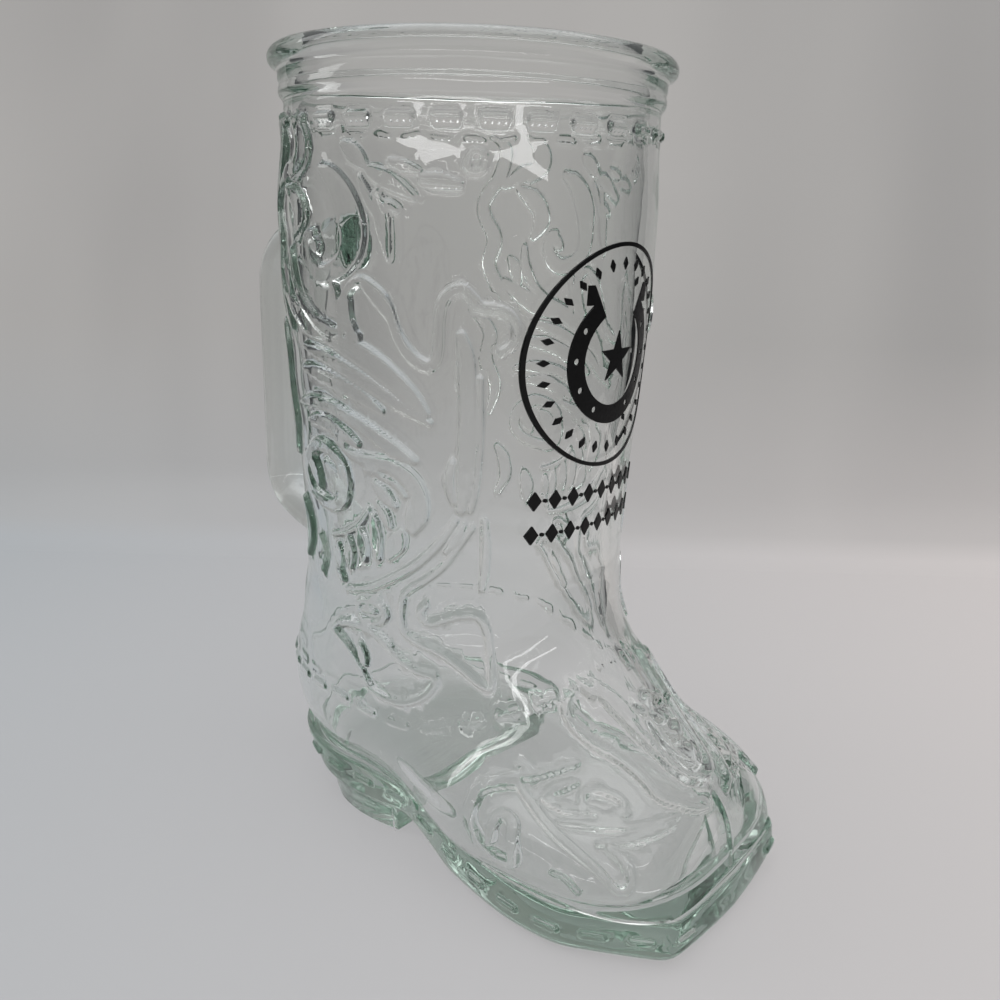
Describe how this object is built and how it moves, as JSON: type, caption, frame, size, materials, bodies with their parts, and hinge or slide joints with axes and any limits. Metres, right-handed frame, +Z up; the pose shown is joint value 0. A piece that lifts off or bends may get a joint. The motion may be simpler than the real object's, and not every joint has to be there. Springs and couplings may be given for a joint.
{
  "type": "beer boot glass",
  "caption": "Clear pressed-glass drinking boot with a beaded lip, side handle, raised western scrollwork and stitches, and a fired black print.",
  "frame": {"origin": "on the shaft's vertical axis, at the height of the table that the heel and sole stand on", "axes": "+Z up the shaft to the mouth, +X to the toe, the handle on -X, +Y across the boot, which is symmetric about the XZ plane"},
  "size_m": [0.1656, 0.094, 0.19],
  "materials": {
    "clear_glass": "clear soda-lime glass with a faint green cast, fire polished",
    "thick_glass": "the same glass where it is thick, seen greener through its depth",
    "relief_glass": "moulded relief with rounded edges, the same clear glass",
    "black_enamel": "fired black enamel print, satin, a little uneven"
  },
  "bodies": {
    "root": {"rim_bead": "clear_glass", "collar": "clear_glass", "shaft": "clear_glass", "foot_upper": "clear_glass", "handle": "clear_glass", "sole": "thick_glass", "heel": "thick_glass", "collar_stitches": "relief_glass", "ankle_stitches": "relief_glass", "welt_stitches": "relief_glass", "toe_seam": "relief_glass", "near_back_stem": "relief_glass", "near_scroll": "relief_glass", "near_leaves": "relief_glass", "near_yoke_line": "relief_glass", "near_plume": "relief_glass", "near_ankle_relief": "relief_glass", "near_foot_scroll": "relief_glass", "near_foot_leaves": "relief_glass", "far_back_stem": "relief_glass", "far_scroll": "relief_glass", "far_leaves": "relief_glass", "far_yoke_line": "relief_glass", "far_plume": "relief_glass", "far_ankle_relief": "relief_glass", "far_foot_scroll": "relief_glass", "far_foot_leaves": "relief_glass", "tongue_panel": "relief_glass", "vamp_plaque": "relief_glass", "print_ring": "black_enamel", "print_beads": "black_enamel", "print_horseshoe": "black_enamel", "print_star": "black_enamel", "print_borders": "black_enamel"}
  },
  "joints": []
}
